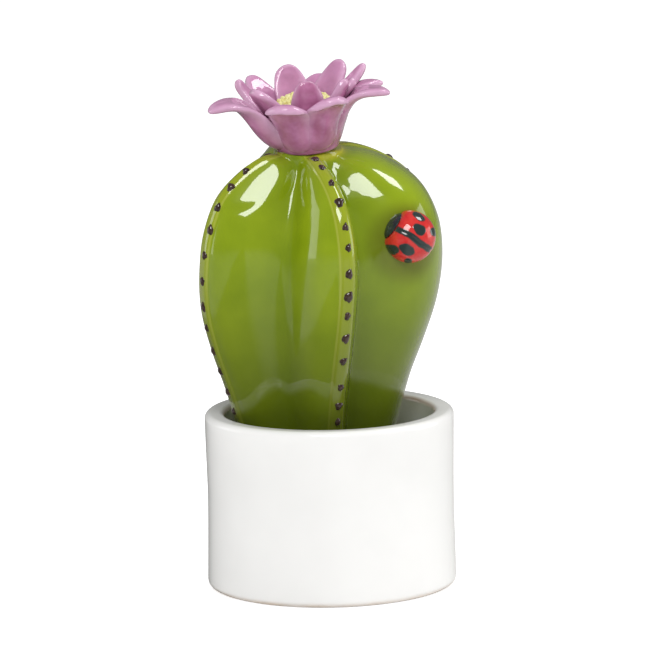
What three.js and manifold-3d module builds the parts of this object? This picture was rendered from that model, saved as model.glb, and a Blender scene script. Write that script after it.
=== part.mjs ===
// A glazed ceramic cactus with a lilac bloom and a ladybird, standing in a plain white ceramic pot.
// Millimetres, +Z up. The origin is the middle of the pot's underside, and the front faces -Y.
// Azimuths are in degrees from the front, positive towards +X.
import * as THREE from "three";
import { mergeVertices } from "three/addons/utils/BufferGeometryUtils.js";
import Module from "manifold-3d";

// Pot
const potRadius = 32.5;
const potHeight = 46;
const potWall = 5.3;
const potFloor = 5.5;
const potWaist = 0.35; // how far the side draws in halfway up
const rimRound = 1.6;
const baseRound = 1.8;
const floorFillet = 5;
const potSides = 54;

// Cactus body: the middle line of the ribs' crests and of the valleys between them, from the collar
// under the bloom down to the foot, as [radius, height] before the body is leaned
const crestLine = [
  [8.7, 115.8], [9.3, 115.7], [13.5, 115], [19.6, 112.6], [27.3, 106.5], [31.2, 97.8], [32.5, 87.3],
  [31.5, 76.3], [28.5, 65.3], [24.6, 54.3], [21.3, 42.8], [17.5, 26], [14, potFloor],
];
const valleyLine = [
  [8.7, 115.8], [8.6, 114.4], [9, 112.4], [11.5, 109], [16, 102.5], [19.6, 94.5], [21.2, 85.5],
  [21, 75.5], [19.4, 65], [17.4, 54.3], [15.7, 42.8], [13.8, 26], [12, potFloor],
];
// One entry for each rib: where it stands, how far it swings round at the collar, in degrees, how far its
// shoulder sinks, how broad it is on either side (above 1, the flank stays full until close to the valley),
// and the valley after it: its share of the way to the next rib, and its radius next to valleyLine
const ribs = [
  { azimuth: 14, swing: -9, sink: 0, breadth: [1, 1], after: { share: 0.16, reach: 1 } },
  { azimuth: 121, swing: 14, sink: 0.4, breadth: [2.9, 1.1], after: { share: 0.5, reach: 0.82 } },
  { azimuth: 208, swing: 4, sink: 0.5, breadth: [1.1, 1.1], after: { share: 0.5, reach: 0.82 } },
  { azimuth: 296, swing: 0, sink: 1, breadth: [1.1, 1.25], after: { share: 0.52, reach: 1 } },
];
const shoulderFrom = 90; // the height above which a rib's shoulder sinks
const bandRise = 0.65; // the raised band along each crest
const bandHalfWidth = 2.1;
const bandEdge = 0.6;
const bodyX = -3.5;
const bodyY = 1.5;
const sideLean = -0.6; // how far the collar stands towards +X from there
const bodyBow = 1.9; // how far the body bows towards +X between the two
const bowSkew = 2.2; // above 1, most of the bow lies in the body's upper half
const forwardLean = THREE.MathUtils.degToRad(5.8);
const bodyRows = 32;
const bandStops = [0, 1.4, 2.1, 2.8]; // columns of the body's surface near a crest, in mm
const lobeStep = THREE.MathUtils.degToRad(8); // and about how far apart the others stand
const crowdRadius = 14; // the crest's radius below which the columns near it crowd together
const crowdReach = 4.7; // and the distance from crest to valley below which they do

// Painted dots along the crests, which stand a little proud
const dotPitch = 5.9;
const firstDot = 6;
const lastDotHeight = 36;
const dotHalfWidth = 1.05;
const dotHalfHeight = 1.3;
const dotRise = 0.35;
const dotJitter = 0.5;

// Bloom, in its own frame: the origin is the middle of its underside and +Z its axis
const bloomLift = 1.05; // keeps the tilted foot of the bloom clear of the collar's top
const bloomForwardTilt = THREE.MathUtils.degToRad(8);
const bloomSideTilt = THREE.MathUtils.degToRad(4.5);
const cupLine = [[8.2, 0], [8.6, 1.2], [9.6, 3.6], [11, 6.6], [11.8, 9.2], [11.2, 10.6]];
const cupTop = 11;
const petalThickness = 2.4;
const tipThickness = 0.55; // near the tip, as a share
// Where a layer's petals grow from, their width there, how deeply they are cupped, how much of that they
// lose towards the tip (above 1, the tip is hooded), and how blunt the tip is
const front = { root: [7.2, 0.6], narrow: 1, cupping: 0.5, lip: 1.5, blunt: 6 };
const outer = { root: [7.2, 0.6], narrow: 0.85, cupping: 0.55, lip: 0.95, blunt: 3.4 };
const inner = { root: [7.6, 6.5], narrow: 0.9, cupping: 0.3, lip: 0.85, blunt: 3.2 };
const petalRows = 8;
const petalColumns = 6;
// One entry for each petal: its azimuth and half width, and the middle line's two control points and its
// tip, each as radius and height. Inner petals grow from the cup's top and the others from its foot.
const petals = [
  { layer: front, azimuth: -19, halfWidth: 5.9, line: [[11.5, 4], [12.2, 17.2], [18.6, 14]] },
  { layer: front, azimuth: 27, halfWidth: 5.8, line: [[11.5, 4], [12, 17.6], [18.8, 14.8]] },
  { layer: outer, azimuth: 80, halfWidth: 5, line: [[10, 6], [10.5, 16.5], [22.8, 12.6]] },
  { layer: outer, azimuth: 112, halfWidth: 3.2, line: [[10, 6], [11.5, 14.7], [22.4, 12]] },
  { layer: outer, azimuth: 164, halfWidth: 5.6, line: [[11.5, 4], [14, 13], [18.4, 13]] },
  { layer: outer, azimuth: 225, halfWidth: 4.6, line: [[12, 4], [14, 13], [19.8, 15.6]] },
  { layer: outer, azimuth: 287, halfWidth: 6.6, line: [[16.5, 5], [13, 17.8], [25.6, 13.2]] },
  { layer: inner, azimuth: 8, halfWidth: 4.6, line: [[9.4, 11], [9.8, 16], [8, 19.1]] },
  { layer: inner, azimuth: 308, halfWidth: 5.4, line: [[10.4, 10], [12.4, 15], [15.6, 18.4]] },
  { layer: inner, azimuth: 246, halfWidth: 2.5, line: [[12, 8.5], [16, 12], [18.2, 17]] },
  { layer: inner, azimuth: 197, halfWidth: 4.8, line: [[10, 11], [11.5, 14.4], [12.8, 18.6]] },
  { layer: inner, azimuth: 140, halfWidth: 4.4, line: [[10, 11], [12.5, 14.7], [16.4, 18.2]] },
  { layer: inner, azimuth: 118, halfWidth: 2.6, line: [[10.5, 10.5], [13.6, 13], [18.8, 17.5]] },
  { layer: inner, azimuth: 90, halfWidth: 3.2, line: [[9.4, 11], [10.8, 13.6], [13.8, 16.2]] },
  { layer: inner, azimuth: 64, halfWidth: 4, line: [[9.4, 11], [10.4, 14.4], [12.6, 17.8]] },
];
const centreRadius = 7;
const centreSkirt = 0.8; // height of the centre's upright edge
const centreRise = 1.6;
const centreClearance = 0.3; // to the petals and to the cup under it
const stippleRadius = 0.75;
const stippleRise = 0.5;

// Ladybird, a dome on the front face of the right-hand rib
const ladybirdX = 21.6;
const ladybirdZ = 94;
const ladybirdFacing = 16; // azimuth that its back faces
const ladybirdUpwards = 0.1; // how far its back faces upwards, as a slope
const ladybirdTurn = -36; // its tail, from level, seen from outside
const ladybirdRadius = 6.8;
const ladybirdHeight = 5.6;
const ladybirdSink = 0.5;
const headLine = -5.4; // where the head begins, along the axis towards the tail
const seatGap = 0.3; // between the ladybird and the body, and between its head and its wing cases

const glazes = {
  white: { color: 0xf4f2ec, roughness: 0.16, metalness: 0 },
  green: { color: 0x8ba32c, roughness: 0.1, metalness: 0 },
  lilac: { color: 0xc48bb5, roughness: 0.15, metalness: 0 },
  yellow: { color: 0xe4e2a0, roughness: 0.35, metalness: 0 },
  red: { color: 0xd2332c, roughness: 0.12, metalness: 0 },
  black: { color: 0x23302f, roughness: 0.12, metalness: 0 },
};

const wasm = await Module();
wasm.setup();

// A closed three.js geometry as a solid, and back
function solid(geometry) {
  geometry.deleteAttribute("normal");
  geometry.deleteAttribute("uv");
  const merged = mergeVertices(geometry, 1e-5);
  return new wasm.Manifold(
    new wasm.Mesh({
      numProp: 3,
      vertProperties: merged.attributes.position.array,
      triVerts: new Uint32Array(merged.index.array),
    }),
  );
}

function geometryOf(shape) {
  const mesh = shape.getMesh();
  return new THREE.BufferGeometry()
    .setAttribute("position", new THREE.BufferAttribute(mesh.vertProperties, 3))
    .setIndex(new THREE.BufferAttribute(mesh.triVerts, 1));
}

function joined(shapes) {
  return shapes.reduce((whole, shape) => whole.add(shape));
}

// 0 at one value and 1 at the other, whichever is larger, with soft ends
function smooth(from, to, value) {
  const share = THREE.MathUtils.clamp((value - from) / (to - from), 0, 1);
  return share * share * (3 - 2 * share);
}

// A closed surface through rows of points, each row a ring, with a flat fan on both ends.
// The rings run anticlockwise seen from their first end, which lies above the last.
function loft(rings) {
  const count = rings[0].length;
  const points = rings.flat();
  const faces = [];
  for (let row = 0; row + 1 < rings.length; row++) {
    for (let column = 0; column < count; column++) {
      const next = (column + 1) % count;
      const a = row * count + column;
      const b = row * count + next;
      const c = a + count;
      const d = b + count;
      faces.push(a, c, d, a, d, b);
    }
  }
  for (const [row, flip] of [[0, false], [rings.length - 1, true]]) {
    const middle = rings[row]
      .reduce((sum, point) => sum.add(point), new THREE.Vector3())
      .divideScalar(count);
    const hub = points.push(middle) - 1;
    for (let column = 0; column < count; column++) {
      const a = row * count + column;
      const b = row * count + ((column + 1) % count);
      faces.push(hub, flip ? b : a, flip ? a : b);
    }
  }
  return new THREE.BufferGeometry().setFromPoints(points).setIndex(faces);
}

// A quarter circle in a lathe profile, from one angle to another
function quarter(centreX, centreY, radius, from, steps = 3) {
  return Array.from({ length: steps + 1 }, (_, i) => {
    const angle = THREE.MathUtils.degToRad(from + (90 * i) / steps);
    return new THREE.Vector2(centreX + radius * Math.cos(angle), centreY + radius * Math.sin(angle));
  });
}

// Turns a lathe's axis from three.js's +Y to +Z
function lathe(profile, sides) {
  return new THREE.LatheGeometry(profile, sides).rotateX(Math.PI / 2);
}

function pot() {
  const inner = potRadius - potWall;
  const side = Array.from({ length: 6 }, (_, i) => {
    const height = THREE.MathUtils.lerp(baseRound, potHeight - rimRound, (i + 1) / 7);
    const draw = potWaist * Math.sin((Math.PI * height) / potHeight) ** 2;
    return new THREE.Vector2(potRadius - draw, height);
  });
  const fillet = quarter(inner - floorFillet, potFloor + floorFillet, floorFillet, -90, 4).reverse();
  const profile = [
    new THREE.Vector2(0, 0),
    ...quarter(potRadius - baseRound, baseRound, baseRound, -90),
    ...side,
    ...quarter(potRadius - rimRound, potHeight - rimRound, rimRound, 0),
    ...quarter(inner + rimRound, potHeight - rimRound, rimRound, 90),
    ...fillet,
    new THREE.Vector2(0, potFloor),
  ];
  return lathe(profile, potSides);
}

const curveOf = (line) =>
  new THREE.CatmullRomCurve3(line.map(([radius, height]) => new THREE.Vector3(radius, height, 0)));
const crestCurve = curveOf(crestLine);
const valleyCurve = curveOf(valleyLine);

// Leans and bows a point of the body, from nothing at the foot to the full lean at the pot's rim
function leaned(x, y, z) {
  const forward = forwardLean * smooth(potFloor, potHeight, z);
  const above = z - potHeight;
  const share = THREE.MathUtils.clamp(above / (crestLine[0][1] - potHeight), 0, 1);
  return new THREE.Vector3(
    bodyX + x + sideLean * share + bodyBow * Math.sin(Math.PI * share ** bowSkew),
    bodyY + y * Math.cos(forward) - above * Math.sin(forward),
    potHeight + above * Math.cos(forward) + y * Math.sin(forward),
  );
}

// The next rib on one side
function neighbour(rib, side) {
  return ribs[(ribs.indexOf(rib) + side + ribs.length) % ribs.length];
}

// The turn from a rib's crest to the valley on one side of it, in radians
function halfGap(rib, side) {
  const other = neighbour(rib, side);
  const gap = THREE.MathUtils.euclideanModulo(side * (other.azimuth - rib.azimuth), 360);
  return THREE.MathUtils.degToRad(gap * (side > 0 ? rib.after.share : 1 - other.after.share));
}

// A point on the body. way runs from 0 on the crest to 1 in the valley towards the side.
function bodyPoint(rib, side, way, share) {
  const crest = crestCurve.getPoint(share);
  const valley = valleyCurve.getPoint(share);
  const { reach } = side > 0 ? rib.after : neighbour(rib, -1).after;
  valley.x *= THREE.MathUtils.lerp(1, reach, smooth(0.05, 0.3, share) * smooth(1, 0.85, share));
  crest.y -= rib.sink * smooth(shoulderFrom, shoulderFrom + 15, crest.y) * smooth(0, 0.15, share);
  const breadth = rib.breadth[side > 0 ? 1 : 0];
  const line = valley.lerp(crest, (1 + Math.cos(Math.PI * way ** breadth)) / 2);
  const swing = THREE.MathUtils.degToRad(rib.swing) * smooth(0.3, 0, share) * (1 - way);
  const azimuth = THREE.MathUtils.degToRad(rib.azimuth) + side * way * halfGap(rib, side) + swing;
  const fromCrest = way * halfGap(rib, side) * line.x;
  const band = bandRise * smooth(bandHalfWidth + bandEdge, bandHalfWidth - bandEdge, fromCrest);
  const rise = band * smooth(0.06, 0.15, share) * smooth(1, 0.95, share);
  const upwards = smooth(0.45, 0.1, share);
  const radius = line.x + rise * (1 - upwards);
  return leaned(radius * Math.sin(azimuth), -radius * Math.cos(azimuth), line.y + rise * upwards);
}

// The columns on one side of a rib, as shares of the way to the valley
function columns(rib, side, share) {
  const turn = halfGap(rib, side);
  const reach = Math.max(crowdReach, turn * Math.max(crowdRadius, crestCurve.getPoint(share).x));
  const band = bandStops.map((stop) => stop / reach);
  const count = Math.round(turn / lobeStep);
  const lobe = Array.from({ length: count - 1 }, (_, i) => {
    return THREE.MathUtils.lerp(band.at(-1), 1, (i + 1) / count);
  });
  return [...band, ...lobe];
}

function bodyLoft() {
  const rings = [];
  for (let row = 0; row <= bodyRows; row++) {
    const share = row / bodyRows;
    const ring = [];
    for (const rib of ribs) {
      const before = columns(rib, -1, share).slice(1).reverse();
      ring.push(...before.map((way) => bodyPoint(rib, -1, way, share)));
      ring.push(...columns(rib, 1, share).map((way) => bodyPoint(rib, 1, way, share)));
      ring.push(bodyPoint(rib, 1, 1, share));
    }
    rings.push(ring);
  }
  return loft(rings);
}

// A low painted dot on a rib's crest: a flattened ball, half sunk
function dot(rib, share, sideways) {
  const at = bodyPoint(rib, 1, 0, share);
  const below = bodyPoint(rib, 1, 0, share + 0.01);
  const down = below.sub(at).normalize();
  const angle = THREE.MathUtils.degToRad(rib.azimuth);
  const across = new THREE.Vector3(Math.cos(angle), Math.sin(angle), 0);
  const out = new THREE.Vector3().crossVectors(down, across).normalize();
  const frame = new THREE.Matrix4()
    .makeBasis(across, down.clone().negate(), out)
    .setPosition(at.addScaledVector(across, sideways));
  const ball = new THREE.SphereGeometry(1, 6, 3)
    .scale(dotHalfWidth, dotHalfHeight, dotRise * 2)
    .applyMatrix4(frame);
  return solid(ball);
}

// The dots on every crest, but for those that would lie under the ladybird
function bodyDots(seat) {
  const dots = [];
  for (const [index, rib] of ribs.entries()) {
    const steps = 400;
    let travelled = 0;
    let next = firstDot;
    let before = bodyPoint(rib, 1, 0, 0);
    for (let step = 1; step < steps; step++) {
      const share = step / steps;
      const here = bodyPoint(rib, 1, 0, share);
      travelled += here.distanceTo(before);
      before = here;
      if (travelled < next) continue;
      if (here.z < lastDotHeight) break;
      const wobble = Math.sin(7.3 * dots.length + 1.9 * index);
      next += dotPitch + dotJitter * wobble;
      if (here.distanceTo(seat) < ladybirdRadius + 2 * dotHalfHeight) continue;
      dots.push(dot(rib, share, 0.4 * dotJitter * wobble));
    }
  }
  return dots;
}

// The bloom's frame in the part's frame
const collarTop = leaned(0, 0, crestLine[0][1]);
const bloomAxis = new THREE.Euler(bloomForwardTilt, -bloomSideTilt, 0);
const bloomFrame = new THREE.Matrix4().makeRotationFromEuler(bloomAxis);
bloomFrame.setPosition(collarTop.add(new THREE.Vector3(0, 0, bloomLift)));

// A petal: a thick curved leaf with round edges, narrow at its root and blunt at its tip
function petal({ layer, azimuth, halfWidth, line }) {
  const spine = new THREE.CubicBezierCurve3(
    ...[layer.root, ...line].map(([radius, height]) => new THREE.Vector3(0, radius, height)),
  );
  const faces = [[], []];
  for (let row = 0; row <= petalRows; row++) {
    const along = Math.sin((Math.PI * row) / (2 * petalRows));
    const middle = spine.getPoint(along);
    const tangent = spine.getTangent(along);
    const outward = new THREE.Vector3(0, tangent.z, -tangent.y);
    const swell = THREE.MathUtils.lerp(layer.narrow, 1, smooth(0, 0.6, along));
    const width = halfWidth * swell * Math.sqrt(1 - along ** layer.blunt);
    for (let column = 0; column <= petalColumns; column++) {
      const across = -1 + (2 * column) / petalColumns;
      const half = (petalThickness / 2) * Math.sqrt(Math.max(0, 1 - across ** 4));
      const ends = row === petalRows ? 0 : Math.min(1, tipThickness + 3 * (1 - along));
      const cupped = -layer.cupping * (1 - layer.lip * smooth(0.3, 0.9, along)) * width * across ** 2;
      for (const [side, list] of faces.entries()) {
        const offset = cupped + (side ? 1 : -1) * half * ends;
        const point = middle.clone().addScaledVector(outward, offset);
        point.x = width * across;
        list.push(point);
      }
    }
  }
  return solid(petalSkin(faces)).rotate([0, 0, 180 + azimuth]);
}

// Joins the two faces of a petal, whose side and tip points coincide, and closes its root
function petalSkin([inner, outer]) {
  const stride = petalColumns + 1;
  const back = inner.length;
  const faces = [];
  for (let row = 0; row < petalRows; row++) {
    for (let column = 0; column < petalColumns; column++) {
      const a = row * stride + column;
      const b = a + 1;
      const c = a + stride;
      const d = c + 1;
      faces.push(a, b, c, b, d, c);
      faces.push(back + a, back + c, back + b, back + b, back + c, back + d);
    }
  }
  for (let column = 0; column < petalColumns; column++) {
    faces.push(column, back + column, column + 1, column + 1, back + column, back + column + 1);
  }
  return new THREE.BufferGeometry().setFromPoints([...inner, ...outer]).setIndex(faces);
}

// The rings of stipples on the bloom's centre, as radius and count
const stippleRings = [[0, 1], [2.3, 6], [4.6, 11]];

function centre(clearance = 0) {
  const radius = centreRadius + clearance;
  const dome = lathe(
    [
      new THREE.Vector2(0, cupTop + centreClearance - clearance),
      new THREE.Vector2(radius, cupTop + centreClearance - clearance),
      new THREE.Vector2(radius, cupTop + centreSkirt),
      new THREE.Vector2(radius * 0.72, cupTop + centreRise * 0.8 + clearance),
      new THREE.Vector2(radius * 0.36, cupTop + centreRise + clearance),
      new THREE.Vector2(0, cupTop + centreRise * 1.05 + clearance),
    ],
    24,
  );
  return solid(dome);
}

function stipples() {
  return stippleRings.flatMap(([ring, count]) =>
    Array.from({ length: count }, (_, i) => {
      const angle = (2 * Math.PI * i) / count + ring;
      const level = cupTop + centreRise * (1.05 - 0.5 * (ring / centreRadius) ** 2);
      const bump = new THREE.SphereGeometry(stippleRadius, 6, 4)
        .rotateX(Math.PI / 2)
        .translate(ring * Math.cos(angle), ring * Math.sin(angle), level + stippleRise - stippleRadius);
      return solid(bump);
    }),
  );
}

function cup() {
  const profile = [new THREE.Vector2(0, 0), ...cupLine.map(([x, y]) => new THREE.Vector2(x, y))];
  return solid(lathe([...profile, new THREE.Vector2(0, cupTop)], 32));
}

function bloomPetals() {
  const whole = joined([cup(), ...petals.map(petal)]);
  const hollow = centre(centreClearance);
  const room = hollow.add(hollow.translate([0, 0, centreRise]));
  return geometryOf(largest(whole.subtract(room))).applyMatrix4(bloomFrame);
}

function bloomCentre() {
  return geometryOf(joined([centre(), ...stipples()])).applyMatrix4(bloomFrame);
}

// The ladybird's frame: +X towards its tail, +Z out of its back
function ladybirdFrame(body) {
  const facing = THREE.MathUtils.degToRad(ladybirdFacing);
  const out = new THREE.Vector3(Math.sin(facing), -Math.cos(facing), ladybirdUpwards).normalize();
  const level = new THREE.Vector3(Math.cos(facing), Math.sin(facing), 0);
  const tail = level.applyAxisAngle(out, THREE.MathUtils.degToRad(ladybirdTurn));
  const across = new THREE.Vector3().crossVectors(out, tail);
  const start = new THREE.Vector3(ladybirdX, -2 * potRadius, ladybirdZ);
  const skin = new THREE.Mesh(body, new THREE.MeshBasicMaterial({ side: THREE.DoubleSide }));
  const [hit] = new THREE.Raycaster(start, new THREE.Vector3(0, 1, 0)).intersectObject(skin);
  const seat = hit.point.addScaledVector(out, -ladybirdSink);
  return { out, seat, frame: new THREE.Matrix4().makeBasis(tail, across, out).setPosition(seat) };
}

function ladybird(body, { out, frame }) {
  const dome = new THREE.SphereGeometry(1, 28, 16)
    .rotateX(Math.PI / 2)
    .scale(ladybirdRadius, ladybirdRadius, ladybirdHeight + ladybirdSink)
    .applyMatrix4(frame);
  const room = body.translate(out.clone().multiplyScalar(seatGap).toArray());
  const whole = solid(dome).subtract(room);
  const beyond = 2 * ladybirdRadius;
  const cutter = (from, to) =>
    solid(
      new THREE.BoxGeometry(to - from, 4 * ladybirdRadius, 4 * ladybirdRadius)
        .translate((from + to) / 2, 0, 0)
        .applyMatrix4(frame),
    );
  return {
    wings: geometryOf(largest(whole.subtract(cutter(-beyond, headLine + seatGap / 2)))),
    head: geometryOf(largest(whole.subtract(cutter(headLine - seatGap / 2, beyond)))),
  };
}

// The largest body of a shape, which drops loose scraps and fills sealed hollows
function largest(shape) {
  return shape.decompose().sort((a, b) => b.volume() - a.volume())[0];
}

function mesh(name, geometry, glaze) {
  const piece = new THREE.Mesh(geometry, new THREE.MeshStandardMaterial(glaze));
  piece.name = name;
  return piece;
}

const group = new THREE.Group();
const bareBody = solid(bodyLoft());
const perch = ladybirdFrame(geometryOf(bareBody));
const body = geometryOf(joined([bareBody, ...bodyDots(perch.seat)]));
const beetle = ladybird(bareBody, perch);
group.add(
  mesh("pot", pot(), glazes.white),
  mesh("cactus_body", body, glazes.green),
  mesh("flower_petals", bloomPetals(), glazes.lilac),
  mesh("flower_centre", bloomCentre(), glazes.yellow),
  mesh("ladybird_wings", beetle.wings, glazes.red),
  mesh("ladybird_head", beetle.head, glazes.black),
);

export default group;
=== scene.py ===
import math
import random

import bmesh
import bpy
from mathutils import Euler, Matrix, Quaternion, Vector, noise
from mathutils.bvhtree import BVHTree


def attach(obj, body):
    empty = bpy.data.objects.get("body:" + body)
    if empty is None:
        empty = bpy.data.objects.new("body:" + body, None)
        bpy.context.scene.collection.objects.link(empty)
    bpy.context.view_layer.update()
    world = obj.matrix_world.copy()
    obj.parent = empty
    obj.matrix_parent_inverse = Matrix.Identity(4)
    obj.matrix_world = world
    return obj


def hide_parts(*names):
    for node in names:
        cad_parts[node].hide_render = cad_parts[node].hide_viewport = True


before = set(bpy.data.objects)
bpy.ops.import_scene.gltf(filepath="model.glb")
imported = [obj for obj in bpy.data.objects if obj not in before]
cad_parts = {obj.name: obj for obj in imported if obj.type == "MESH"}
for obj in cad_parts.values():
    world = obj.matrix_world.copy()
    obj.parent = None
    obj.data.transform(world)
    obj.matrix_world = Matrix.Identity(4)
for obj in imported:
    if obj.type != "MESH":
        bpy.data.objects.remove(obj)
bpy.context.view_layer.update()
print("frame loaded:", ", ".join(sorted(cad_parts)))

noise.seed_set(1)  # so that the petals' unevenness is the same on every run
mm = 0.001
touching = 1e-4  # millimetres within which two points of a turned shape are one


def lerp(start, end, share):
    return start + (end - start) * share


# From 0 at start to 1 at end, with a gentle beginning and end
def smooth(start, end, value):
    share = min(1.0, max(0.0, (value - start) / (end - start)))
    return share * share * (3 - 2 * share)


# How far a value has come through several fades at once, each given as its start and end
def faded(value, *fades):
    return math.prod(smooth(start, end, value) for start, end in fades)


# 1 where a value is under a limit and 0 above it, with a soft edge
def under(limit, softness, value):
    return smooth(limit + softness, limit - softness, value)


def bump(value, width):
    return math.exp(-((value / width) ** 2))


# The uneven surface of a hand-made piece: a soft value from -1 to 1, with waves about size millimetres long
def waves(place, size, seed):
    return noise.noise(Vector(place) / size + Vector((seed, 2 * seed, 0)))


# Turns a bmesh in millimetres into a piece that stands for a CAD node
def finishPiece(name, build, material, nodes=(), rounding=0):
    build.transform(Matrix.Scale(mm, 4))
    build.normal_update()
    mesh = bpy.data.meshes.new(name)
    build.to_mesh(mesh)
    build.free()
    mesh.polygons.foreach_set("use_smooth", [True] * len(mesh.polygons))
    mesh.materials.append(material)
    piece = bpy.data.objects.new(name, mesh)
    bpy.context.scene.collection.objects.link(piece)
    if rounding:
        subdivision = piece.modifiers.new("rounding", "SUBSURF")
        subdivision.levels = subdivision.render_levels = rounding
    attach(piece, "root")
    if nodes:
        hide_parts(*nodes)
    print("made", name, "with", len(mesh.polygons), "faces")


# Adds a copy of one bmesh to another and frees it
def absorb(build, part):
    mesh = bpy.data.meshes.new("part")
    part.to_mesh(mesh)
    part.free()
    build.from_mesh(mesh)
    bpy.data.meshes.remove(mesh)


# Spins a profile of [radius, height] points round the Z axis
def turned(profile, sides):
    build = bmesh.new()
    verts = [build.verts.new((radius, 0, height)) for radius, height in profile]
    edges = [build.edges.new(pair) for pair in zip(verts, verts[1:])]
    bmesh.ops.spin(
        build, geom=verts + edges, cent=(0, 0, 0), axis=(0, 0, 1), angle=2 * math.pi, steps=sides, use_merge=True
    )
    bmesh.ops.remove_doubles(build, verts=build.verts, dist=touching)
    bmesh.ops.recalc_face_normals(build, faces=build.faces)
    return build


# A quarter of a circle in a profile
def quarter(centreX, centreZ, radius, start, steps=8):
    angles = [math.radians(start + 90 * step / steps) for step in range(steps + 1)]
    return [(centreX + radius * math.cos(angle), centreZ + radius * math.sin(angle)) for angle in angles]


# Adds a shader node. A value named after an input goes to its socket, any other is a setting of the node.
def addNode(material, kind, **values):
    node = material.node_tree.nodes.new(kind)
    for name, value in values.items():
        if name in node.inputs.keys():
            node.inputs[name].default_value = value
        else:
            setattr(node, name, value)
    return node


def link(material, source, target):
    material.node_tree.links.new(source, target)


# Mixes two colours, each a tuple or a socket, by a value socket
def mixColours(material, share, first, second):
    mix = addNode(material, "ShaderNodeMix", data_type="RGBA")
    link(material, share, mix.inputs["Factor"])
    for socket, colour in ((mix.inputs["A"], first), (mix.inputs["B"], second)):
        if isinstance(colour, tuple):
            socket.default_value = (*colour, 1)
        else:
            link(material, colour, socket)
    return mix.outputs["Result"]


# A value socket times a number
def scaled(material, source, factor):
    product = addNode(material, "ShaderNodeMath", operation="MULTIPLY")
    product.inputs[1].default_value = factor
    link(material, source, product.inputs[0])
    return product.outputs[0]


# A value socket that rises softly from 0 to top while another runs from the first to the second of its limits
def risen(material, source, limits, top=1.0):
    rise = addNode(material, "ShaderNodeMapRange", interpolation_type="SMOOTHSTEP")
    rise.inputs["From Min"].default_value, rise.inputs["From Max"].default_value = limits
    rise.inputs["To Min"].default_value, rise.inputs["To Max"].default_value = 0.0, top
    link(material, source, rise.inputs["Value"])
    return rise.outputs["Result"]


def paintedShare(material, attribute):
    return addNode(material, "ShaderNodeAttribute", attribute_name=attribute).outputs["Fac"]


def objectPlace(material):
    return addNode(material, "ShaderNodeTexCoord").outputs["Object"]


# Lays a colour over what a glaze has so far, by a value socket
def layOver(material, share, colour):
    base = material.node_tree.nodes["Principled BSDF"].inputs["Base Color"]
    link(material, mixColours(material, share, base.links[0].from_socket, colour), base)


# Lays a colour over a glaze where a painted attribute of the mesh is 1
def paintOver(material, attribute, paint):
    layOver(material, scaled(material, paintedShare(material, attribute), paint["strength"]), paint["colour"])


# What all glazes share: how they bend and mirror light under their coat, how the mottling between the two tones
# spreads, and how fine and deep their ripple is
glazeBase = {
    "ior": 1.5, "specular": 0.1, "mottleFrom": 0.35, "mottleTo": 0.65, "mottleDetail": 3.0,
    "mottleRoughness": 0.55, "rippleDetail": 1.0, "rippleDepth": 0.001,
}
glazeLooks = {
    "white": {
        "tones": [(0.83, 0.825, 0.81), (0.86, 0.855, 0.84)], "roughness": 0.2, "coat": 0.6, "coatRoughness": 0.03,
        "mottleScale": 40.0, "rippleScale": 120.0, "ripple": 0.05,
    },
    "green": {
        "tones": [(0.2, 0.285, 0.004), (0.255, 0.345, 0.008)], "roughness": 0.22, "coat": 1.0,
        "coatRoughness": 0.02, "mottleScale": 55.0, "rippleScale": 90.0, "ripple": 0.12,
    },
    "lilac": {
        "tones": [(0.35, 0.11, 0.22), (0.5, 0.2, 0.36)], "roughness": 0.25, "coat": 0.9, "coatRoughness": 0.04,
        "mottleScale": 170.0, "rippleScale": 420.0, "ripple": 0.35,
    },
    "yellow": {
        "tones": [(0.66, 0.6, 0.2), (0.82, 0.79, 0.42)], "roughness": 0.4, "coat": 0.4, "coatRoughness": 0.15,
        "mottleScale": 400.0, "rippleScale": 600.0, "ripple": 0.4,
    },
    "red": {
        "tones": [(0.52, 0.016, 0.018), (0.64, 0.04, 0.034)], "roughness": 0.2, "coat": 1.0, "coatRoughness": 0.03,
        "mottleScale": 260.0, "rippleScale": 350.0, "ripple": 0.3,
    },
    "black": {
        "tones": [(0.012, 0.018, 0.02), (0.026, 0.036, 0.038)], "roughness": 0.2, "coat": 1.0,
        "coatRoughness": 0.03, "mottleScale": 260.0, "rippleScale": 350.0, "ripple": 0.3,
    },
    "brown": {
        "tones": [(0.028, 0.015, 0.011), (0.055, 0.03, 0.022)], "roughness": 0.2, "coat": 1.0,
        "coatRoughness": 0.03, "mottleScale": 500.0, "rippleScale": 500.0, "ripple": 0.2,
    },
}


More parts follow.
